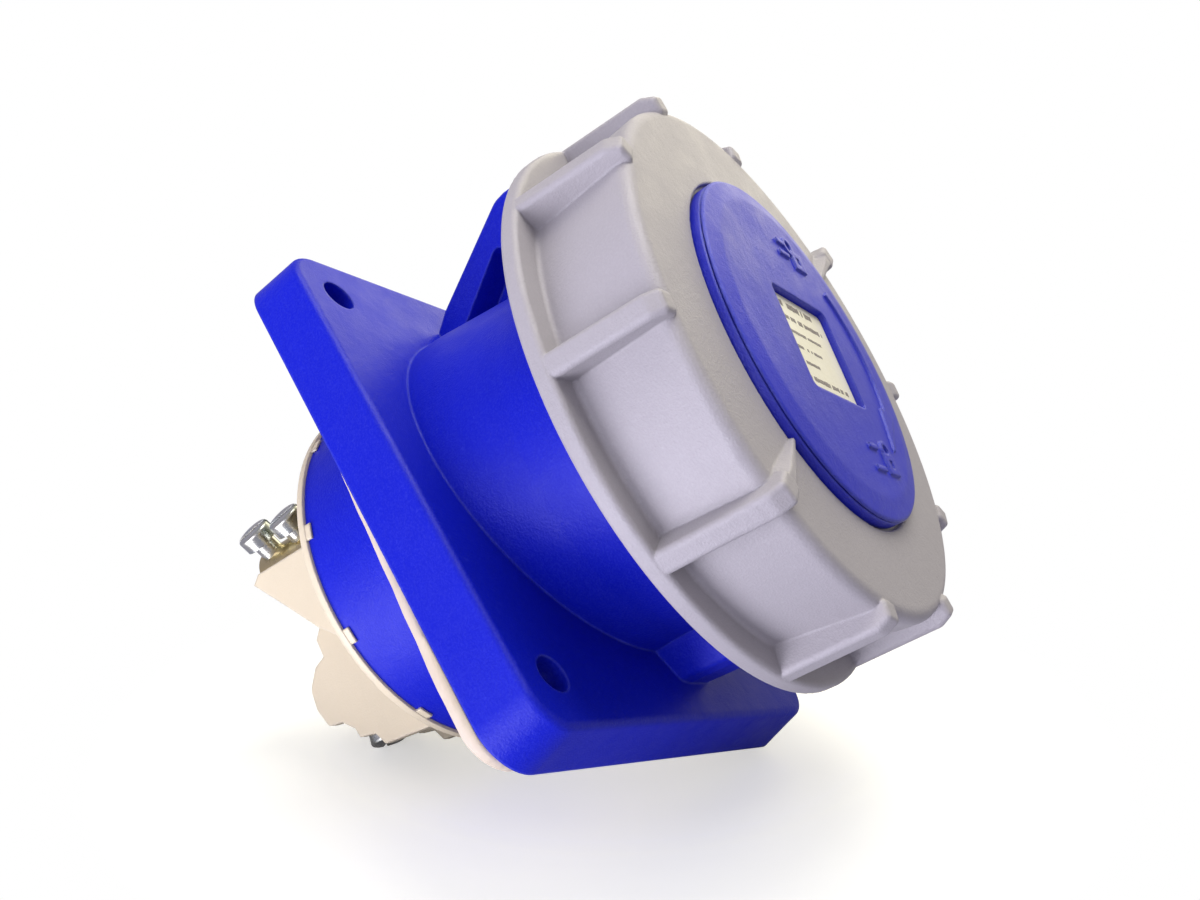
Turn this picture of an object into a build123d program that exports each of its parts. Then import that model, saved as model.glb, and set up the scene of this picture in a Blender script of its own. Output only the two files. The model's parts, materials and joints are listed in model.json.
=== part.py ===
from build123d import *
import math
import os

os.makedirs("parts", exist_ok=True)

# ---------------------------------------------------------------- driving dimensions (mm, degrees)
# Flange and gasket. Y = 0 is the panel face, the viewer stands at -Y, +Z is up.
FLANGE_W = 97.2           # flange at its back face
FLANGE_H = 107.0
FLANGE_T = 10.8           # flange thickness
FLANGE_DRAFT = 6.9        # taper of the flange sides
FLANGE_R = 8.4            # flange corner radius
HOLE_PITCH_X = 77.0       # fixing holes
HOLE_PITCH_Z = 85.0
HOLE_D = 6.8              # clearance for M6
GASKET_T = 3.0
GASKET_LOW = 49.3         # half width of the gasket at the bottom and at the top
GASKET_HIGH = 44.8
GASKET_BORE = 38.5

# Inclined collar. Its axis leaves the flange back face at AXIS_Z and points TILT below level.
TILT = 13.8
AXIS_Z = 3.23
ROOT_R = 38.3             # collar at the flange
COLLAR_R = 36.9           # collar in front
COLLAR_S = 59.6           # front edge of the collar
BORE_R = 34.2
KEY_X = 4.5               # keyway and its bulge under the collar
KEY_W = 9.0
KEY_R = 34.9
BULGE_U = 44.0
BULGE_S = 36.5

# Rear barrel on the same axis as the collar, a little low
BARREL_R = 36.6
BARREL_DROP = 0.7
BARREL_S = -22.4

# Hinge, in collar coordinates (U = up along the collar face, S = outward along the axis)
HINGE_U = 54.5
HINGE_S = 34.5
KNUCKLE_R = 4.0
PIN_R = 2.0
HINGE_GAP = 0.06          # radial running clearance of the lid knuckle on its pin
EAR_OUT = 11.0
EAR_IN = 7.8
WEB = 4.0                 # half thickness of the bracket between its side pockets
LUG_SEAT = (117.0, 297.0)  # bayonet lugs on the collar, clockwise from the top

# Locking ring
RING_BACK = 43.7
LIP_R = 54.6
LIP_T = 3.3
RING_BORE = 46.0
WALL_R0 = 49.1            # ring wall at the lip
WALL_R1 = 50.8            # ring wall at the front shoulder
ANNULUS_S = 67.2          # front annulus at the disc
ANNULUS_R = 34.6
SHOULDER_S = 66.5
WEB_R = 31.2              # inner web of the ring, held between disc and carrier
WEB_S0 = 64.7
WEB_S1 = 66.1
FIN_N = 10
FIN_T = 4.2
FIN_0 = 13.55             # first fin, clockwise from the top
POINTER_FINS = (1, 6)     # the two fins that carry a pointer ridge
RING_LUGS = (27.0, 207.0)

# Lid
DISC_R = 34.0
DISC_FACE = 69.9
DISC_BACK = 66.35
CARRIER_R = 43.9
CARRIER_S0 = 62.05
CARRIER_S1 = 64.45
NECK_R = 30.8
SPIGOT_R = 32.8           # raised ring inside the lid gasket
STRAP_R0 = 42.2
STRAP_R1 = 44.9
LABEL_U = -0.4            # label pocket, centred sideways
LABEL_W = 23.4
LABEL_H = 20.6
LABEL_DEPTH = 1.7
LABEL_T = 0.5
MARK_H = 0.45
DISC_SCREWS = (45.0, 165.0, 285.0)
DISC_SCREW_R = 25.0
DISC_SCREW_TIP = 68.0

# Contact insert
FACE_S = 13.0             # front face of the contact insert
PLATE_S = 3.0             # rear face of its face plate
PLUG_R = 33.9
SKIRT_R = 31.5
RIM_R = 37.2
RIM_T = 2.0
SHOULDER = -8.0           # rear face of the bosses that the terminals sit on
LUG_R = 24.2              # the two housing lugs that take the insert screws
LUG_S = 4.8
LUG_HALF = 13.0
PAD_S = -4.0
INSERT_SCREW_X = 27.8

# name: x, u, pin radius, barrel radius, tip, rear end, wire hole radius, screw clock angle
POLES = {
    "line": (-15.8, 9.13, 4.0, 5.5, 51.5, -52.0, 3.6, -47.0),
    "neutral": (15.8, 9.13, 4.0, 5.5, 51.5, -52.0, 3.6, 47.0),
    "earth": (0.0, -18.25, 5.0, 6.5, 53.5, -52.0, 4.2, 180.0),
    "pilot": (0.0, 0.0, 3.0, 4.0, 43.5, -46.0, 2.0, 0.0),
}
# clamp screws: axial station and height of the head underside above the pole axis
CLAMPS = {
    "line": ((-48.3, 8.2), (-39.8, 7.5)),
    "neutral": ((-48.3, 7.5), (-39.8, 7.5)),
    "earth": ((-47.8, 8.4), (-40.0, 8.4)),
    "pilot": ((-41.5, 6.0),),
}

COLLAR = Plane(
    origin=(0, -GASKET_T, AXIS_Z),
    x_dir=(1, 0, 0),
    z_dir=(0, -math.cos(math.radians(TILT)), -math.sin(math.radians(TILT))),
)
FRONT = Plane(origin=(0, -GASKET_T, 0), x_dir=(1, 0, 0), z_dir=(0, -1, 0))
BASE = (Align.CENTER, Align.CENTER, Align.MIN)


# ---------------------------------------------------------------- helpers
def on_collar(shape):
    """Carry a shape drawn in collar coordinates (X, U, S) into the row frame."""
    return COLLAR.location * shape


def rod(radius, s0, s1, x=0.0, u=0.0):
    """Cylinder along the collar axis, in collar coordinates."""
    return Pos(x, u, s0) * Cylinder(radius, s1 - s0, align=BASE)


def clock(angle, radius):
    """Point (x, u) at a clock angle from the top."""
    a = math.radians(angle)
    return radius * math.sin(a), radius * math.cos(a)


def profile(points, rounds=()):
    """Closed outline with some corners rounded: rounds = (x, y, radius)."""
    face = make_face(Polyline(*points, close=True))
    for x, y, radius in rounds:
        corner = face.vertices().sort_by_distance((x, y, 0))[0]
        face = fillet(corner, radius)
    return face


def turned(points, rounds=()):
    """Solid of revolution about the collar axis from (radius, s) points."""
    return revolve(Plane.XZ * profile(points, rounds), axis=Axis.Z)


def side_plate(points, x0, x1, rounds=()):
    """Plate between x0 and x1 whose outline is given in (s, u)."""
    side = Plane(origin=(x0, 0, 0), x_dir=(0, 0, 1), z_dir=(-1, 0, 0))
    flat = [(s, u) for s, u in points]
    return extrude(side * profile(flat, rounds), -(x1 - x0))


def radial(shape, angle):
    """Turn a shape drawn at the top (u = radius) clockwise by a clock angle."""
    return Rot(0, 0, -angle) * shape


def sector(r0, r1, s0, s1, angle, half):
    """Annular block centred on a clock angle."""
    ring = rod(r1, s0, s1) - rod(r0, s0 - 1, s1 + 1)
    reach = r1 * 1.5
    side = reach * math.tan(math.radians(half))
    wedge = make_face(Polyline((0, 0), (side, reach), (-side, reach), close=True))
    return radial(ring & (Pos(0, 0, s0) * extrude(wedge, s1 - s0)), angle)


def drill(shape, radius, x, u, s, angle, reach):
    """Cross hole from the axis point (x, u, s) outward at a clock angle."""
    hole = Pos(x, u, s) * (Rot(0, 0, -angle) * (Rot(-90, 0, 0) * Cylinder(radius, reach, align=BASE)))
    return shape - hole


# ---------------------------------------------------------------- housing
def flange_holes(depth0, depth1, diameter):
    holes = Part()
    for x in (-HOLE_PITCH_X / 2, HOLE_PITCH_X / 2):
        for z in (-HOLE_PITCH_Z / 2, HOLE_PITCH_Z / 2):
            holes += FRONT.location * (Pos(x, z, depth0) * Cylinder(diameter / 2, depth1 - depth0, align=BASE))
    return holes


def slab(y0, y1):
    """Everything between two depths in front of the flange back face."""
    return FRONT.location * (Pos(0, 0, y0) * Box(300, 300, y1 - y0, align=BASE))


def hinge_bracket():
    outline = [
        (0.0, 34.0), (1.2, 39.1), (4.8, 43.1), (23.8, 57.9), (26.4, HINGE_U + KNUCKLE_R),
        (HINGE_S, HINGE_U + KNUCKLE_R), (HINGE_S, HINGE_U - KNUCKLE_R), (30.0, 45.0), (27.5, 34.0),
    ]
    body = side_plate(outline, -EAR_OUT, EAR_OUT, [(23.8, 57.9, 4.0)])
    pocket = [(5.5, 35.0), (21.5, 49.8), (24.6, 35.0)]
    for x0, x1 in ((-EAR_OUT - 1.0, -WEB), (WEB, EAR_OUT + 1.0)):
        body -= side_plate(pocket, x0, x1, [(21.5, 49.8, 1.4)])
    body += Pos(0, HINGE_U, HINGE_S) * (Rot(0, 90, 0) * Cylinder(KNUCKLE_R, 2 * EAR_OUT))
    slot = [(28.5, 43.5), (28.5, 66.0), (44.0, 66.0), (44.0, 43.5)]
    return body - side_plate(slot, -EAR_IN, EAR_IN)


def key_bulge():
    flank = [(-3.6, -34.0), (-2.6, -37.8), (0.1, -43.4), (3.0, -BULGE_U), (10.6, -BULGE_U), (12.2, -34.0)]
    face = profile(flank, [(0.1, -43.4, 1.5), (10.6, -BULGE_U, 1.2)])
    body = Pos(0, 0, 1.0) * extrude(face, BULGE_S - 1.0)
    nose = [(BULGE_S - 4.0, -46.0), (BULGE_S + 1.0, -38.5), (BULGE_S + 1.0, -46.0)]
    return body - side_plate(nose, -6.0, 15.0)


def housing():
    plate = extrude(RectangleRounded(FLANGE_W, FLANGE_H, FLANGE_R), FLANGE_T, taper=FLANGE_DRAFT)
    plate = fillet(plate.faces().sort_by(Axis.Z)[-1].edges(), 1.4)
    inner = BORE_R - 1.0
    outline = [
        (inner, -2.0), (ROOT_R, -2.0), (ROOT_R, 8.0), (COLLAR_R, 27.0), (COLLAR_R, COLLAR_S), (inner, COLLAR_S),
    ]
    collar = on_collar(turned(outline, [(COLLAR_R, COLLAR_S, 0.8)])) & slab(2.0, 200.0)
    body = FRONT.location * plate + collar
    root = [e for e in body.edges() if abs(e.center().Y + GASKET_T + FLANGE_T) < 0.1 and e.length > 150]
    body = fillet(root[:1], 1.3)
    details = key_bulge() + hinge_bracket()
    for angle in LUG_SEAT:
        details += sector(COLLAR_R - 1.0, 43.6, 51.0, 55.0, angle, 9.0)
    body += on_collar(details) & slab(2.0, 200.0)
    body += on_collar(rod(BARREL_R, BARREL_S, 20.0, 0, -BARREL_DROP)) & slab(-100.0, 8.0)
    key = Pos(KEY_X, -30.0, FACE_S - 2.0) * Box(KEY_W, 2 * (KEY_R - 30.0), 60.0, align=BASE)
    recess = Pos(KEY_X, -30.0, FACE_S + 2.0) * Box(KEY_W, 2 * 11.0, BULGE_S - FACE_S - 8.0, align=BASE)
    body -= on_collar(rod(BORE_R, BARREL_S - 1.0, COLLAR_S + 1.0) + key + recess)
    body -= flange_holes(-1.0, FLANGE_T + 1.0, HOLE_D)
    for side in (-1, 1):
        lug = sector(LUG_R, BORE_R + 0.4, LUG_S, FACE_S - 0.1, 90.0 * side, LUG_HALF)
        body += on_collar(lug)
        body -= on_collar(rod(1.5, LUG_S - 1.0, LUG_S + 6.5, INSERT_SCREW_X * side))
    body -= on_collar(Pos(0, HINGE_U, HINGE_S) * (Rot(0, 90, 0) * Cylinder(PIN_R, 60.0)))
    return body


def flange_gasket():
    outline = [
        (-GASKET_LOW, -51.5), (-GASKET_LOW, -36.0), (-GASKET_HIGH, 18.0), (-GASKET_HIGH, 51.5),
        (GASKET_HIGH, 51.5), (GASKET_HIGH, 18.0), (GASKET_LOW, -36.0), (GASKET_LOW, -51.5),
    ]
    rounds = [(side * GASKET_LOW, -51.5, 7.5) for side in (-1, 1)]
    rounds += [(side * GASKET_HIGH, 51.5, 7.5) for side in (-1, 1)]
    sheet = extrude(profile(outline, rounds), GASKET_T)
    sheet = fillet(sheet.edges().group_by(Axis.Z)[0], 1.2)
    body = FRONT.location * (Pos(0, 0, -GASKET_T) * sheet)
    bore = Pos(0, AXIS_Z - 0.2, -GASKET_T - 1.0) * Cylinder(GASKET_BORE, GASKET_T + 2.0, align=BASE)
    body -= FRONT.location * bore
    body -= flange_holes(-GASKET_T - 1.0, 1.0, HOLE_D)
    return body


# ---------------------------------------------------------------- contact insert
def channel(x, u, angle, inner, outer, s0):
    """Half-open cradle under a terminal, open on the screw side."""
    shell = rod(outer, s0, PLATE_S + 1.0, x, u) - rod(inner, s0 - 1.0, SHOULDER, x, u)
    opening = Pos(0, outer + 0.5, s0 - 1.0) * Box(4 * outer, 2 * outer, SHOULDER - s0 + 1.0, align=BASE)
    return shell - Pos(x, u, 0) * (Rot(0, 0, -angle) * opening)


def insert_walls():
    front = PLATE_S + 1.0
    vane = [
        (front, 7.7), (-49.8, 7.7), (-51.6, 6.0), (-44.3, -1.6), (-37.3, -9.1), (-32.0, -13.5), (front, -13.5),
    ]
    step = [
        (front, -6.0), (-40.0, -3.0), (-49.9, -3.4), (-51.6, -5.7), (-50.8, -9.7), (-53.7, -11.0), (-56.3, -14.9),
        (-55.9, -19.5), (-53.7, -23.8), (-50.0, -24.3), (-47.0, -26.7), (-46.2, -28.8), (-42.1, -29.5),
        (-40.2, -32.3), (-28.9, -33.1), (front, -33.1),
    ]
    rounds = [(-53.7, -11.0, 1.5), (-56.3, -14.9, 3.0), (-55.9, -19.5, 4.0), (-53.7, -23.8, 1.5)]
    walls = Part()
    for x0, x1 in ((-23.6, -21.8), (21.8, 23.6)):
        walls += side_plate(vane, x0, x1)
    for x0, x1 in ((-9.8, -8.0), (8.0, 9.8)):
        walls += side_plate(step, x0, x1, rounds)
    return walls


def contact_insert():
    rim_s = BARREL_S - RIM_T
    body = rod(PLUG_R, BARREL_S - 1.0, FACE_S) - rod(SKIRT_R, rim_s - 1.0, PLATE_S)
    rim = rod(RIM_R, rim_s, BARREL_S, 0, -BARREL_DROP)
    rim = fillet(rim.edges().filter_by(GeomType.CIRCLE).sort_by(Axis.Z)[0], 0.9)
    body += rim - rod(SKIRT_R, rim_s - 1.0, BARREL_S + 1.0)
    for side in (-1, 1):
        body += sector(LUG_R - 1.0, PLUG_R, PAD_S, LUG_S, 90.0 * side, LUG_HALF)
        body -= sector(LUG_R - 0.2, PLUG_R + 1.0, LUG_S, FACE_S + 1.0, 90.0 * side, LUG_HALF + 0.6)
    inner = insert_walls()
    for name, (x, u, pin_r, barrel_r, tip, end, wire_r, angle) in POLES.items():
        inner += rod(barrel_r + 1.6, SHOULDER, PLATE_S + 1.0, x, u)
        if name != "pilot":
            inner += channel(x, u, angle, barrel_r + 0.3, barrel_r + 2.3, end + 4.0)
    body += inner & (rod(PLUG_R, rim_s, FACE_S) + rod(60.0, -70.0, rim_s))
    for x, u, pin_r, barrel_r, tip, end, wire_r, angle in POLES.values():
        body -= rod(pin_r, SHOULDER - 1.0, FACE_S + 1.0, x, u)
        body -= rod(barrel_r, end - 1.0, SHOULDER, x, u)
    for step in range(11):
        nib = sector(BARREL_R + 0.1, RIM_R - 0.1, BARREL_S - 0.5, BARREL_S + 1.4, 210.0 + 360.0 / 11 * step, 2.4)
        body += Pos(0, -BARREL_DROP, 0) * nib
    for side in (-1, 1):
        body -= rod(1.9, PAD_S - 1.0, LUG_S + 1.0, INSERT_SCREW_X * side)
    return on_collar(body)


def insert_screw(x):
    shank = rod(1.5, PAD_S - 0.5, LUG_S + 6.0, x)
    head = rod(3.2, PAD_S - 2.2, PAD_S, x)
    head = fillet(head.edges().filter_by(GeomType.CIRCLE).sort_by(Axis.Z)[0], 0.8)
    cross = Pos(x, 0, PAD_S - 3.1) * (Box(3.6, 0.8, 2.0, align=BASE) + Box(0.8, 3.6, 2.0, align=BASE))
    return on_collar(shank + head - cross)


# ---------------------------------------------------------------- contacts
def contact(name):
    x, u, pin_r, barrel_r, tip, end, wire_r, angle = POLES[name]
    pin = rod(pin_r, SHOULDER, tip, x, u)
    pin = fillet(pin.edges().filter_by(GeomType.CIRCLE).sort_by(Axis.Z)[-1], pin_r * 0.45)
    barrel = rod(barrel_r, end, SHOULDER, x, u)
    barrel = chamfer(barrel.edges().filter_by(GeomType.CIRCLE), 0.5)
    body = pin + barrel - rod(wire_r, end - 1.0, end + 24.0, x, u)
    for s, under in CLAMPS[name]:
        body = drill(body, 2.4, x, u, s, angle, barrel_r + 2.0)
    return on_collar(body)


def clamp_screw(name, index):
    x, u, pin_r, barrel_r, tip, end, wire_r, angle = POLES[name]
    s, under = CLAMPS[name][index]
    head_r = 3.0 if name == "pilot" else 3.7
    head_h = 2.4 if name == "pilot" else 3.2
    shank = Pos(0, 0, wire_r + 0.2) * Cylinder(2.4, under - wire_r, align=BASE)
    head = Pos(0, 0, under) * Cylinder(head_r, head_h, align=BASE)
    head = fillet(head.edges().filter_by(GeomType.CIRCLE).sort_by(Axis.Z)[-1], 0.7)
    slot = Pos(0, 0, under + head_h - 1.5) * Box(1.1, 3 * head_r, 3.0, align=BASE)
    screw = shank + head - Rot(0, 0, 30.0) * slot
    return on_collar(Pos(x, u, s) * (Rot(0, 0, -angle) * (Rot(-90, 0, 0) * screw)))


# ---------------------------------------------------------------- locking ring
def ring_fin():
    outline = [(44.2, 47.2), (44.2, LIP_R - 0.1), (64.4, 53.9), (67.0, 52.6), (67.0, 49.8), (65.2, 47.2)]
    bar = side_plate(outline, -FIN_T / 2, FIN_T / 2, [(64.4, 53.9, 2.0), (67.0, 52.6, 0.8), (67.0, 49.8, 0.8)])
    long_edges = [e for e in bar.edges() if e.center().Y > 50.5 and abs(e.center().X) > 1.5]
    return fillet(long_edges, 1.0)


def pointer_ridge():
    """Ridge that carries a pointer fin across the front annulus to the disc."""
    outline = [(60.0, 48.0), (60.0, 54.0), (66.4, 53.8), (69.0, 52.4), (69.0, 48.6), (66.0, 46.0)]
    nose = side_plate(outline, -FIN_T / 2, FIN_T / 2, [(66.4, 53.8, 2.4), (69.0, 52.4, 0.9), (69.0, 48.6, 0.9)])
    long_edges = [e for e in nose.edges() if e.center().Y > 49.5 and abs(e.center().X) > 1.5]
    nose = fillet(long_edges, 0.8)
    sections = []
    for u, foot, crest, top in ((50.0, 2.0, 1.3, 68.9), (46.4, 2.6, 0.8, 68.9), (34.8, 0.9, 0.25, 67.9)):
        across = Plane(origin=(0, u, 0), x_dir=(1, 0, 0), z_dir=(0, -1, 0))
        wedge = Polyline((-foot, WEB_S1), (foot, WEB_S1), (crest, top), (-crest, top), close=True)
        sections.append(across * make_face(wedge))
    return nose + loft(sections, ruled=True)


def locking_ring():
    outline = [
        (RING_BORE, RING_BACK), (LIP_R, RING_BACK), (LIP_R, RING_BACK + LIP_T), (WALL_R0, RING_BACK + LIP_T),
        (WALL_R1, SHOULDER_S), (ANNULUS_R, ANNULUS_S), (ANNULUS_R, WEB_S1), (WEB_R, WEB_S1), (WEB_R, WEB_S0),
        (RING_BORE, WEB_S0),
    ]
    rounds = [
        (LIP_R, RING_BACK, 0.7), (LIP_R, RING_BACK + LIP_T, 1.0), (WALL_R0, RING_BACK + LIP_T, 0.8),
        (WALL_R1, SHOULDER_S, 2.2), (ANNULUS_R, ANNULUS_S, 0.4),
    ]
    body = turned(outline, rounds)
    fin = ring_fin()
    for index in range(FIN_N):
        body += radial(fin, FIN_0 + 36.0 * index)
    ridge = pointer_ridge()
    for index in POINTER_FINS:
        body += radial(ridge, FIN_0 + 36.0 * index)
    for angle in RING_LUGS:
        body += sector(41.6, RING_BORE + 0.4, 47.0, 50.0, angle, 7.0)
    return on_collar(body)


# ---------------------------------------------------------------- lid
def lid():
    body = rod(CARRIER_R, CARRIER_S0, CARRIER_S1) + rod(NECK_R, CARRIER_S1 - 0.5, DISC_BACK)
    spigot = rod(SPIGOT_R, CARRIER_S0 - 1.6, CARRIER_S0 + 0.5) - rod(SPIGOT_R - 1.8, CARRIER_S0 - 3.0, CARRIER_S0)
    strap = sector(STRAP_R0, STRAP_R1, 36.6, CARRIER_S1, 0.0, 14.0)
    arm_points = [
        (37.4, STRAP_R0 + 0.4), (42.0, STRAP_R0 + 0.4), (42.0, 54.6), (38.6, 58.3),
        (HINGE_S, HINGE_U + KNUCKLE_R), (HINGE_S, 51.0), (37.4, 49.0),
    ]
    arm = side_plate(arm_points, -7.4, 7.4, [(42.0, 54.6, 2.0)])
    knuckle = Pos(0, HINGE_U, HINGE_S) * (Rot(0, 90, 0) * Cylinder(KNUCKLE_R, 14.8))
    body += spigot + strap + arm + knuckle
    body -= Pos(0, HINGE_U, HINGE_S) * (Rot(0, 90, 0) * Cylinder(PIN_R + HINGE_GAP, 40.0))
    for angle in DISC_SCREWS:
        x, u = clock(angle, DISC_SCREW_R)
        body -= rod(1.8, CARRIER_S0 - 1.0, DISC_BACK + 1.0, x, u)
        body -= rod(3.2, CARRIER_S0 - 1.0, CARRIER_S0 + 2.0, x, u)
    return on_collar(body)


def raised(face, x=0.0, u=0.0):
    """Mark standing MARK_H proud of the disc face."""
    return Pos(x, u, DISC_FACE - 0.2) * extrude(face, MARK_H + 0.2)


def padlock(x, u, shackle_x):
    block = Rectangle(4.6, 4.2) - Rectangle(1.4, 1.6)
    loop = Pos(shackle_x, 2.8) * (Circle(2.0) - Circle(1.2))
    return raised(block, x, u) + raised(loop - Rectangle(4.6, 4.2), x, u)


def disc_marks():
    """Raised turning arrow, padlocks and short bars in place of lettering."""
    arc = sector(23.3, 24.9, DISC_FACE - 0.2, DISC_FACE + MARK_H, 81.0, 33.0)
    tip = [clock(139.0, 25.0), clock(113.5, 21.8), clock(113.5, 26.6)]
    marks = arc + raised(make_face(Polyline(*tip, close=True)))
    marks += padlock(8.8, 20.4, -2.4) + padlock(10.6, -22.4, 0.0)
    for x, u, width in ((3.2, 23.2, 3.4), (2.8, 20.4, 4.0), (4.6, -19.6, 3.6), (4.2, -24.0, 4.2)):
        marks += raised(Rectangle(width, 0.9), x, u)
    return marks


def lid_disc():
    outline = [
        (0, DISC_BACK), (DISC_R, DISC_BACK), (DISC_R, 68.5), (DISC_R - 0.6, 68.5), (DISC_R - 0.6, 68.8),
        (DISC_R, 68.8), (DISC_R - 0.4, 69.2), (29.8, DISC_FACE), (0, DISC_FACE),
    ]
    body = turned(outline, [(DISC_R - 0.4, 69.2, 0.5), (29.8, DISC_FACE, 5.0)])
    pocket = extrude(RectangleRounded(LABEL_W, LABEL_H, 1.4), 5.0)
    body -= Pos(0, LABEL_U, DISC_FACE - LABEL_DEPTH) * pocket
    body += disc_marks()
    for angle in DISC_SCREWS:
        x, u = clock(angle, DISC_SCREW_R)
        body -= rod(1.5, DISC_BACK - 1.0, DISC_SCREW_TIP + 0.2, x, u)
    return on_collar(body)


def label_plate():
    plate = extrude(RectangleRounded(LABEL_W - 0.6, LABEL_H - 0.6, 1.2), LABEL_T)
    return on_collar(Pos(0, LABEL_U, DISC_FACE - LABEL_DEPTH) * plate)


def lid_gasket():
    body = rod(38.6, COLLAR_S + 0.1, CARRIER_S0) - rod(SPIGOT_R + 0.1, COLLAR_S, CARRIER_S0 + 1.0)
    return on_collar(body)


def disc_screw(angle):
    x, u = clock(angle, DISC_SCREW_R)
    head = rod(2.9, CARRIER_S0 + 0.2, CARRIER_S0 + 2.0, x, u)
    shank = rod(1.5, CARRIER_S0 + 1.0, DISC_SCREW_TIP, x, u)
    cross = Pos(x, u, CARRIER_S0) * (Box(3.2, 0.8, 1.1, align=BASE) + Box(0.8, 3.2, 1.1, align=BASE))
    return on_collar(head + shank - cross)


def hinge_pin():
    pin = Cylinder(PIN_R, 2 * EAR_OUT)
    pin = chamfer(pin.edges().filter_by(GeomType.CIRCLE), 0.4)
    return on_collar(Pos(0, HINGE_U, HINGE_S) * (Rot(0, 90, 0) * pin))


# ---------------------------------------------------------------- export
NODES = {
    "housing": housing(),
    "flange_gasket": flange_gasket(),
    "contact_insert": contact_insert(),
    "insert_screw_left": insert_screw(-INSERT_SCREW_X),
    "insert_screw_right": insert_screw(INSERT_SCREW_X),
    "locking_ring": locking_ring(),
    "lid": lid(),
    "lid_disc": lid_disc(),
    "label_plate": label_plate(),
    "lid_gasket": lid_gasket(),
    "hinge_pin": hinge_pin(),
}
for pole in POLES:
    NODES[pole + "_pin"] = contact(pole)
for pole, stations in CLAMPS.items():
    for number in range(len(stations)):
        NODES["%s_screw_%d" % (pole, number + 1)] = clamp_screw(pole, number)
for number, clock_angle in enumerate(DISC_SCREWS):
    NODES["disc_screw_%d" % (number + 1)] = disc_screw(clock_angle)

for node, shape in NODES.items():
    export_step(shape, "parts/%s.step" % node)
    box = shape.bounding_box()
    print(node, shape.is_valid, len(shape.solids()), round(shape.volume), [round(v, 1) for v in (*box.min, *box.max)])
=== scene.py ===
import json
import math
import random

import bmesh
import bpy
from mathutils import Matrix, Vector, noise


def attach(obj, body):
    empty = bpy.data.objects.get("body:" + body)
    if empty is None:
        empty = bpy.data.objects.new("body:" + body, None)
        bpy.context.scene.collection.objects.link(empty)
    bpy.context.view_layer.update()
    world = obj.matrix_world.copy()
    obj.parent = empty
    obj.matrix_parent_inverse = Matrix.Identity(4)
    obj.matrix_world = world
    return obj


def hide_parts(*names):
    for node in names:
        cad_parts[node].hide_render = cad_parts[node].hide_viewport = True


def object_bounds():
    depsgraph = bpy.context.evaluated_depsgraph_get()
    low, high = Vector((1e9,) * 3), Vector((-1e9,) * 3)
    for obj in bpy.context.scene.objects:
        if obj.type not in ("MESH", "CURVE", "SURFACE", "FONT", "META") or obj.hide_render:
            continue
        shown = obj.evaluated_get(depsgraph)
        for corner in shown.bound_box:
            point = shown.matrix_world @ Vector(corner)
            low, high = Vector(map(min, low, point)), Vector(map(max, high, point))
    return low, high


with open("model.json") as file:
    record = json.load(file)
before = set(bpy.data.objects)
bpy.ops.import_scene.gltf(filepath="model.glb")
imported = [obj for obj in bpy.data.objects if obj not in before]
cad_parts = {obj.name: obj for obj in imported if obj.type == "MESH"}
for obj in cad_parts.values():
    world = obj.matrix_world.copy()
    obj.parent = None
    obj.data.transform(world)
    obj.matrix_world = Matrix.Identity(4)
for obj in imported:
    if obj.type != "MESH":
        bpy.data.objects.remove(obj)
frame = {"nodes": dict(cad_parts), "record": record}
CAD_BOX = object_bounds()
NODES = frame["nodes"]

MM = 0.001

# ---------------------------------------------------------------- camera
CAMERA_AT = Vector((-194.9, -103.9, -105.9)) * MM
CAMERA_TURN = (121.419, 29.134, -51.452)     # degrees
CAMERA_LENS = 36.48
SENSOR_WIDTH = 36.0
CLIP_START = 0.01
CLIP_END = 20.0


def link(obj):
    bpy.context.scene.collection.objects.link(obj)
    return obj


def make_camera():
    data = bpy.data.cameras.new("camera")
    data.sensor_width = SENSOR_WIDTH
    data.lens = CAMERA_LENS
    data.clip_start = CLIP_START
    data.clip_end = CLIP_END
    cam = link(bpy.data.objects.new("camera", data))
    cam.location = CAMERA_AT
    cam.rotation_euler = [math.radians(a) for a in CAMERA_TURN]
    bpy.context.scene.camera = cam
    bpy.context.view_layer.update()
    return cam


CAMERA = make_camera()
TURN = CAMERA.matrix_world.to_3x3()
RIGHT, UP, BACK = TURN.col[0], TURN.col[1], TURN.col[2]
AIM = (CAD_BOX[0] + CAD_BOX[1]) / 2


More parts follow.
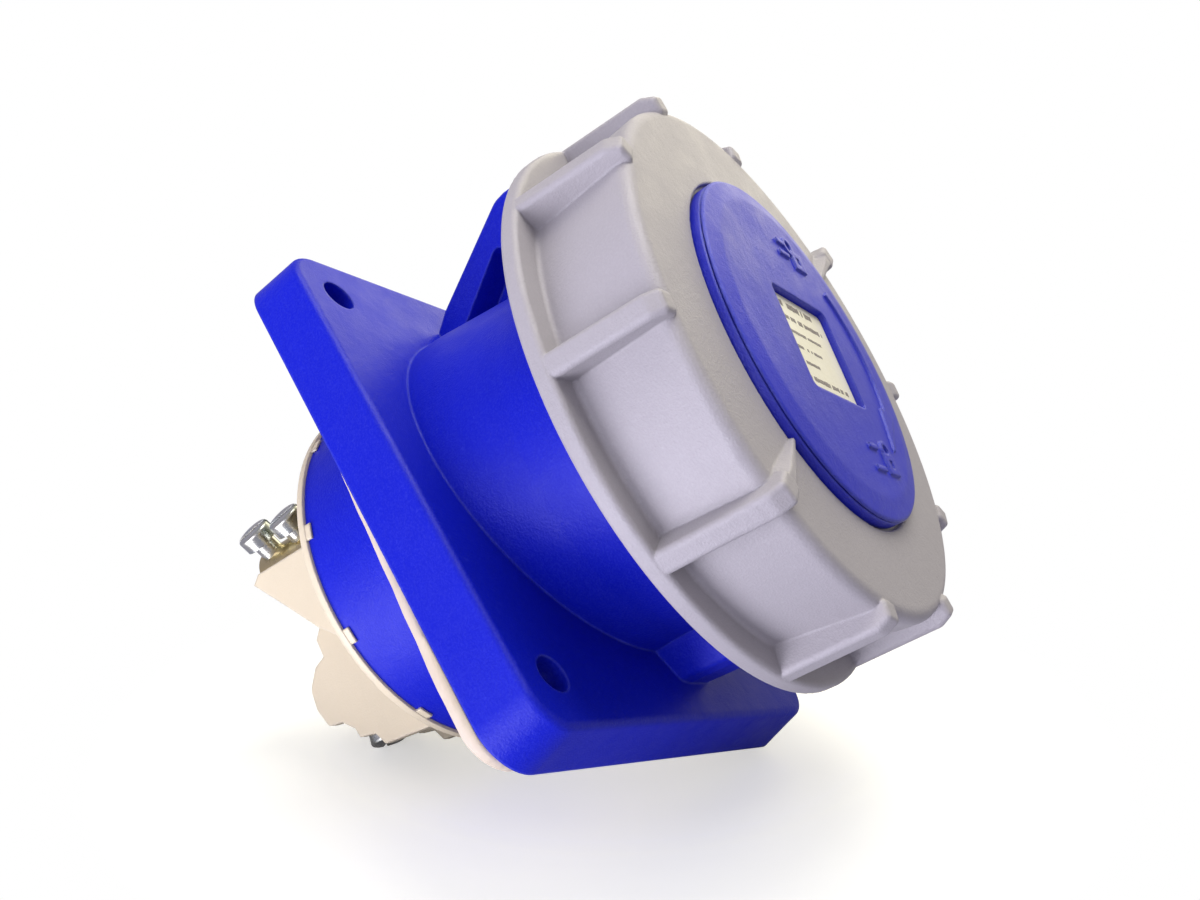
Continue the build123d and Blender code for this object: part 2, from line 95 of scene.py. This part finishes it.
# ---------------------------------------------------------------- shader helper
class Shader:
    """A material's node tree, with short ways to add nodes and join them."""

    def __init__(self, name):
        self.mat = bpy.data.materials.new(name)
        self.mat.use_nodes = True
        self.tree = self.mat.node_tree
        self.bsdf = self.tree.nodes["Principled BSDF"]
        self.where = self.add("ShaderNodeTexCoord").outputs["Object"]

    def add(self, kind, inputs=None, **settings):
        made = self.tree.nodes.new(kind)
        for key, value in settings.items():
            setattr(made, key, value)
        for key, value in (inputs or {}).items():
            self.put(made.inputs[key], value)
        return made

    def put(self, socket, value):
        if isinstance(value, bpy.types.NodeSocket):
            self.tree.links.new(value, socket)
        elif isinstance(value, tuple) and len(value) == 3 and socket.type == "RGBA":
            socket.default_value = (*value, 1.0)
        else:
            socket.default_value = value

    def noise(self, scale, detail=2.0, rough=0.5, where=None):
        made = self.add("ShaderNodeTexNoise", {
            "Vector": where or self.where, "Scale": scale, "Detail": detail, "Roughness": rough,
        })
        return made.outputs["Fac"]

    def stretch(self, x, y, z):
        made = self.add("ShaderNodeMapping", {"Vector": self.where, "Scale": (x, y, z)})
        return made.outputs["Vector"]

    def span(self, value, low, high, to_low=0.0, to_high=1.0):
        made = self.add("ShaderNodeMapRange", {
            "Value": value, "From Min": low, "From Max": high, "To Min": to_low, "To Max": to_high,
        })
        return made.outputs["Result"]

    def maths(self, operation, a, b=0.5):
        made = self.add("ShaderNodeMath", {0: a, 1: b}, operation=operation)
        return made.outputs[0]

    def mix(self, fac, a, b):
        made = self.add("ShaderNodeMix", data_type="RGBA")
        self.put(made.inputs[0], fac)
        self.put(made.inputs[6], a)
        self.put(made.inputs[7], b)
        return made.outputs[2]

    def bump(self, height, distance, strength, normal):
        made = self.add("ShaderNodeBump", {
            "Height": height, "Distance": distance, "Strength": strength, "Normal": normal,
        })
        return made.outputs["Normal"]

    def soft_edge(self, radius):
        made = self.add("ShaderNodeBevel", {"Radius": radius}, samples=4)
        return made.outputs["Normal"]

    def edge_mask(self, rounded, low, high):
        """One on edges, where the rounded normal leaves the true one, and zero on flat faces."""
        true = self.add("ShaderNodeNewGeometry").outputs["Normal"]
        dot = self.add("ShaderNodeVectorMath", {0: rounded, 1: true}, operation="DOT_PRODUCT")
        return self.span(dot.outputs["Value"], high, low)

    def finish(self, **sockets):
        """Set the shader's own sockets: an underscore in a keyword stands for a space."""
        for key, value in sockets.items():
            self.put(self.bsdf.inputs[key.replace("_", " ")], value)
        return self.mat


# ---------------------------------------------------------------- materials
# moulded plastic: noise scales are in waves per metre, depths and radii in metres
MOULDED_EDGE = 0.0007     # radius over which edges look rounded
MOTTLE_SCALE = 28.0
SCUFF_SCALE = 420.0
SCUFF_PALE = 0.45         # how far scuffed edges go towards the pale tone (wear)
# painted edge highlight: how far every edge goes towards the pale tone, scuffed or not
EDGE_HIGHLIGHT_PAINT = 0.30
DUST_SCALE = 900.0
DUST_PALE = 0.10
GRAIN_SCALE = 2600.0
GRAIN_PALE = 0.10
GRAIN_STRENGTH = 0.8
ORANGE_PEEL_SCALE = 620.0
ORANGE_PEEL_HEIGHT = 0.8


def moulded(name, colour, pale_tone, rough, grain, specular=0.4, mottle=0.06):
    """Injection moulded plastic: fine spark-eroded grain, faint flow mottle, edges paler where scuffed by
    wear, and a painted highlight lightening every edge.
    """
    s = Shader(name)
    rounded = s.soft_edge(MOULDED_EDGE)
    mottled = s.noise(MOTTLE_SCALE, 4.0, 0.6)
    dark = tuple(c * (1.0 - mottle * 2) for c in colour)
    base = s.mix(s.span(mottled, 0.3, 0.7), dark, colour)
    scuffs = s.span(s.noise(SCUFF_SCALE, 5.0, 0.7), 0.5, 0.72)
    edges = s.edge_mask(rounded, 0.90, 0.995)
    wear = s.maths("MULTIPLY", s.maths("MULTIPLY", edges, scuffs), SCUFF_PALE)
    # wear on scuffed edges plus a painted highlight along all edges
    pale = s.maths("ADD", wear, s.maths("MULTIPLY", edges, EDGE_HIGHLIGHT_PAINT))
    base = s.mix(pale, base, pale_tone)
    dust = s.span(s.noise(DUST_SCALE, 2.0, 0.5), 0.66, 0.8)
    base = s.mix(s.maths("MULTIPLY", dust, DUST_PALE), base, pale_tone)
    fine = s.noise(GRAIN_SCALE, 2.0, 0.6)
    base = s.mix(s.span(fine, 0.42, 0.75, 0.0, GRAIN_PALE), base, pale_tone)
    coarse = s.noise(ORANGE_PEEL_SCALE, 2.0, 0.5)
    height = s.maths("ADD", fine, s.maths("MULTIPLY", coarse, ORANGE_PEEL_HEIGHT))
    normal = s.bump(height, grain, GRAIN_STRENGTH, rounded)
    roughness = s.span(s.noise(160.0, 3.0, 0.6), 0.3, 0.7, rough - 0.05, rough + 0.07)
    return s.finish(Base_Color=base, Roughness=roughness, Normal=normal, Specular_IOR_Level=specular)


def rubber(name, colour, pale_tone, rough=0.62):
    """Soft matt surface with a fine uneven skin."""
    s = Shader(name)
    rounded = s.soft_edge(0.0006)
    base = s.mix(s.span(s.noise(90.0, 5.0, 0.6), 0.3, 0.75), colour, pale_tone)
    height = s.maths("ADD", s.noise(1500.0, 3.0, 0.6), s.noise(210.0, 3.0, 0.5))
    return s.finish(
        Base_Color=base, Roughness=rough, Specular_IOR_Level=0.3,
        Normal=s.bump(height, 0.00012, 0.6, rounded),
    )


def metal(name, colour, tint, rough):
    """Plated metal with stains of a second tint and drawn scratches."""
    s = Shader(name)
    rounded = s.soft_edge(0.0003)
    base = s.mix(s.span(s.noise(260.0, 4.0, 0.6), 0.35, 0.7), colour, tint)
    scratches = s.noise(1.0, 2.0, 0.5, where=s.stretch(900.0, 160.0, 900.0))
    roughness = s.span(s.noise(500.0, 3.0, 0.6), 0.3, 0.7, rough - 0.07, rough + 0.1)
    return s.finish(
        Base_Color=base, Metallic=1.0, Roughness=roughness,
        Normal=s.bump(scratches, 0.00005, 0.5, rounded),
    )


BLUE = (0.002, 0.009, 0.480)
# paler tones for scuffs, dust and grain; on moulded parts they are also the colour of the painted edge
# highlight
BLUE_WEAR_AND_HIGHLIGHT = (0.10, 0.13, 0.66)
GREY = (0.380, 0.362, 0.372)
GREY_WEAR_AND_HIGHLIGHT = (0.60, 0.58, 0.59)
CREAM = (0.74, 0.655, 0.45)
CREAM_WEAR_AND_HIGHLIGHT = (0.80, 0.74, 0.60)
GASKET = (0.62, 0.53, 0.40)
GASKET_WORN = (0.70, 0.62, 0.50)
BRASS = (0.66, 0.55, 0.30)
BRASS_TINT = (0.58, 0.46, 0.22)
ZINC = (0.68, 0.66, 0.54)
ZINC_TINT = (0.48, 0.53, 0.50)
STEEL = (0.55, 0.55, 0.56)
STEEL_TINT = (0.45, 0.45, 0.46)
SEAL = (0.03, 0.03, 0.035)
SEAL_WORN = (0.06, 0.06, 0.06)
FILM = (0.80, 0.77, 0.58)
FILM_WORN = (0.86, 0.84, 0.68)
INK = (0.30, 0.27, 0.24)
INK_WORN = (0.34, 0.31, 0.28)

MATERIALS = {
    "blue_plastic": moulded("blue housing plastic", BLUE, BLUE_WEAR_AND_HIGHLIGHT, 0.40, 0.00009, specular=0.20),
    "lid_blue": moulded("blue lid plastic", BLUE, BLUE_WEAR_AND_HIGHLIGHT, 0.42, 0.00012, specular=0.70),
    "grey_plastic": moulded("grey ring plastic", GREY, GREY_WEAR_AND_HIGHLIGHT, 0.42, 0.00011, mottle=0.03),
    "cream_plastic": moulded("cream insert plastic", CREAM, CREAM_WEAR_AND_HIGHLIGHT, 0.38, 0.00005, mottle=0.03),
    "gasket": rubber("cream foam gasket", GASKET, GASKET_WORN),
    "lid_seal": rubber("dark lid seal", SEAL, SEAL_WORN),
    "label": rubber("label film", FILM, FILM_WORN, 0.35),
    "contact_metal": metal("brass contact", BRASS, BRASS_TINT, 0.30),
    "screw_steel": metal("zinc plated steel", ZINC, ZINC_TINT, 0.24),
    "ink": rubber("label ink", INK, INK_WORN, 0.5),
    "pin_steel": metal("hinge pin steel", STEEL, STEEL_TINT, 0.3),
}


def dress_nodes():
    for entry in frame["record"]["subparts"]:
        obj = NODES[entry["node"]]
        for index in range(len(obj.material_slots)):
            obj.material_slots[index].material = MATERIALS[entry["material_slot"]]


dress_nodes()


# ---------------------------------------------------------------- soft and printed pieces
SKIN_WAVES = 90.0         # per metre, the unevenness of the soft pieces
SKIN_RIPPLES = 260.0

# height of each printed row in mm, and how far across the label it runs
PRINT_ROWS = ((1.3, 0.78), (1.0, 0.88), (0.7, 0.72), (0.7, 0.62), (0.7, 0.45), (1.0, 0.90))
PRINT_PITCH = 3.1 * MM
PRINT_MARGIN = 1.3 * MM
PRINT_LIFT = 0.03 * MM
DASH_WIDTH = (0.45 * MM, 0.95 * MM)
DASH_TALL = (0.7, 1.0)    # part of the row's height
DASH_FILL = 0.78          # part of each dash's width that is inked
DASH_SKIP = 0.16          # chance of a blank in place of a dash


def softened(name, node, voxel, passes, swell, body, slot):
    """Rubber piece grown from its CAD solid: remeshed, its edges relaxed, its faces slightly uneven."""
    source = NODES[node]
    piece = link(bpy.data.objects.new(name, source.data.copy()))
    remesh = piece.modifiers.new("remesh", "REMESH")
    remesh.mode = "VOXEL"
    remesh.voxel_size = voxel
    smooth = piece.modifiers.new("smooth", "SMOOTH")
    smooth.factor = 0.5
    smooth.iterations = passes
    graph = bpy.context.evaluated_depsgraph_get()
    mesh = bpy.data.meshes.new_from_object(piece.evaluated_get(graph))
    piece.modifiers.clear()
    piece.data = mesh
    for vertex in mesh.vertices:
        wave = noise.noise(vertex.co * SKIN_WAVES) + 0.5 * noise.noise(vertex.co * SKIN_RIPPLES)
        vertex.co += vertex.normal * swell * wave
    mesh.polygons.foreach_set("use_smooth", [True] * len(mesh.polygons))
    mesh.materials.clear()
    mesh.materials.append(MATERIALS[slot])
    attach(piece, body)
    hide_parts(node)


def lid_axes():
    """Point on the lid axis, and the lid's sideways, upward and outward directions."""
    joint = next(j for j in frame["record"]["behaviour"]["joints"] if j["name"] == "ring_turn")
    out = -Vector(joint["axis"]).normalized()
    side = Vector((1.0, 0.0, 0.0))
    return Vector(joint["pos_m"]), side, out.cross(side), out


def label_print():
    """Rows of short printed dashes on the label, with no lettering in them."""
    at, side, up, out = lid_axes()
    spots = [v.co - at for v in NODES["label_plate"].data.vertices]
    x0, x1 = min(p.dot(side) for p in spots), max(p.dot(side) for p in spots)
    u0, u1 = min(p.dot(up) for p in spots), max(p.dot(up) for p in spots)
    top = max(p.dot(out) for p in spots)
    rand = random.Random(11)
    made = bmesh.new()
    for row, (row_mm, fill) in enumerate(PRINT_ROWS):
        height = row_mm * MM
        u = u1 - PRINT_MARGIN - PRINT_PITCH * row
        x = x0 + PRINT_MARGIN
        end = x0 + (x1 - x0) * fill
        while x < end:
            wide = rand.uniform(*DASH_WIDTH)
            tall = height * rand.uniform(*DASH_TALL)
            if rand.random() > DASH_SKIP:
                centre = at + side * (x + wide / 2) + up * (u - height / 2) + out * (top + PRINT_LIFT)
                for vertex in bmesh.ops.create_cube(made, size=1.0)["verts"]:
                    a, b, c = vertex.co
                    vertex.co = centre + side * a * wide * DASH_FILL + up * b * tall + out * c * PRINT_LIFT
            x += wide
    mesh = bpy.data.meshes.new("label_print")
    made.to_mesh(mesh)
    made.free()
    mesh.materials.append(MATERIALS["ink"])
    piece = link(bpy.data.objects.new("label_print", mesh))
    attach(piece, "lid")


label_print()
softened("flange_gasket_soft", "flange_gasket", 0.0009, 4, 0.00008, "base", "gasket")
softened("lid_seal_soft", "lid_gasket", 0.0008, 3, 0.00005, "lid", "lid_seal")


# ---------------------------------------------------------------- stage and light
FLOOR_PITCH = math.radians(12.0)
FLOOR_GLOW = 0.46         # lifts the pale floor to the studio's white, for the camera only
FLOOR_NEAR = 0.055        # the floor fades into the white backdrop between these distances
FLOOR_FAR = 0.112
SKY_COOL = (0.78, 0.76, 1.0)
SKY_WARM = (1.0, 0.93, 0.70)
SKY_STRENGTH = 0.50
FLOOR_UP = UP * math.cos(FLOOR_PITCH) + BACK * math.sin(FLOOR_PITCH)
SHADOW_AT = AIM + RIGHT * 0.007 - UP * 0.062 - BACK * 0.045     # middle of the shadow on the floor
FLOOR_GAP = 0.0004
FLOOR_REACH = 3.0
FLOOR_SEEN = (0.80, 0.80, 0.70)
FLOOR_BOUNCE = (0.38, 0.38, 0.38)     # what the floor throws back on the object
WARM_SIDE = RIGHT * 0.55 + UP * 0.8 - BACK * 0.2


def make_floor():
    lowest = min(FLOOR_UP.dot(v.co) for o in NODES.values() for v in o.data.vertices)
    along = FLOOR_UP.cross(RIGHT).normalized()
    side = along.cross(FLOOR_UP).normalized()
    centre = AIM + FLOOR_UP * (lowest - FLOOR_UP.dot(AIM) - FLOOR_GAP)
    around = ((-1, -1), (1, -1), (1, 1), (-1, 1))
    corners = [centre + side * a * FLOOR_REACH + along * b * FLOOR_REACH for a, b in around]
    mesh = bpy.data.meshes.new("floor")
    mesh.from_pydata(corners, [], [(0, 1, 2, 3)])
    mesh.update()
    if mesh.polygons[0].normal.dot(FLOOR_UP) < 0:
        mesh.flip_normals()
    floor = link(bpy.data.objects.new("floor", mesh))
    s = Shader("pale floor")
    direct = s.add("ShaderNodeLightPath").outputs["Is Camera Ray"]
    s.finish(
        Base_Color=s.mix(direct, FLOOR_BOUNCE, FLOOR_SEEN), Roughness=0.9, Specular_IOR_Level=0.1,
        Emission_Color=(1.0, 1.0, 1.0), Emission_Strength=s.maths("MULTIPLY", direct, FLOOR_GLOW),
    )
    away = s.add("ShaderNodeVectorMath", {0: s.where, 1: SHADOW_AT}, operation="DISTANCE").outputs["Value"]
    fade = s.span(away, FLOOR_NEAR, FLOOR_FAR)
    below = s.add("ShaderNodeNewGeometry").outputs["Backfacing"]
    clear = s.add("ShaderNodeBsdfTransparent").outputs[0]
    blend = s.add("ShaderNodeMixShader", {
        0: s.maths("MAXIMUM", below, fade), 1: s.bsdf.outputs[0], 2: clear,
    })
    s.put(s.tree.nodes["Material Output"].inputs["Surface"], blend.outputs[0])
    mesh.materials.append(s.mat)


def make_world():
    world = bpy.data.worlds.new("studio")
    bpy.context.scene.world = world
    world.use_nodes = True
    tree = world.node_tree
    sky = tree.nodes["Background"]
    sky.inputs["Strength"].default_value = SKY_STRENGTH
    towards = tree.nodes.new("ShaderNodeVectorMath")
    towards.operation = "DOT_PRODUCT"
    tree.links.new(tree.nodes.new("ShaderNodeTexCoord").outputs["Generated"], towards.inputs[0])
    towards.inputs[1].default_value = WARM_SIDE.normalized()
    ramp = tree.nodes.new("ShaderNodeValToRGB")
    ramp.color_ramp.elements[0].color = (*SKY_COOL, 1.0)
    ramp.color_ramp.elements[1].color = (*SKY_WARM, 1.0)
    tree.links.new(towards.outputs["Value"], ramp.inputs[0])
    tree.links.new(ramp.outputs[0], sky.inputs["Color"])
    seen = tree.nodes.new("ShaderNodeBackground")
    seen.inputs["Color"].default_value = (1.0, 1.0, 1.0, 1.0)
    seen.inputs["Strength"].default_value = 1.0
    path = tree.nodes.new("ShaderNodeLightPath")
    blend = tree.nodes.new("ShaderNodeMixShader")
    tree.links.new(path.outputs["Is Camera Ray"], blend.inputs[0])
    tree.links.new(sky.outputs[0], blend.inputs[1])
    tree.links.new(seen.outputs[0], blend.inputs[2])
    tree.links.new(blend.outputs[0], tree.nodes["World Output"].inputs["Surface"])


def softbox(name, right, up, back, size, power, colour):
    """Area light placed from the aim point along the camera's axes, facing the object."""
    data = bpy.data.lights.new(name, "AREA")
    data.shape = "DISK"
    data.size = size
    data.energy = power
    data.color = colour
    lamp = link(bpy.data.objects.new(name, data))
    lamp.location = AIM + RIGHT * right + UP * up + BACK * back
    lamp.rotation_mode = "QUATERNION"
    lamp.rotation_quaternion = (lamp.location - AIM).to_track_quat("Z", "Y")


make_floor()
make_world()
softbox("top softbox", 0.15, 0.85, 0.15, 0.6, 7.0, (1.0, 0.97, 0.93))
softbox("front fill", -0.42, 0.02, 0.75, 0.6, 3.4, (0.86, 0.84, 1.0))
softbox("low fill", -0.42, -0.44, 0.40, 0.6, 5.5, (0.88, 0.86, 1.0))
softbox("side softbox", 0.29, 0.56, -0.64, 0.7, 2.2, (1.0, 0.93, 0.72))
bpy.context.scene.view_settings.view_transform = "Standard"
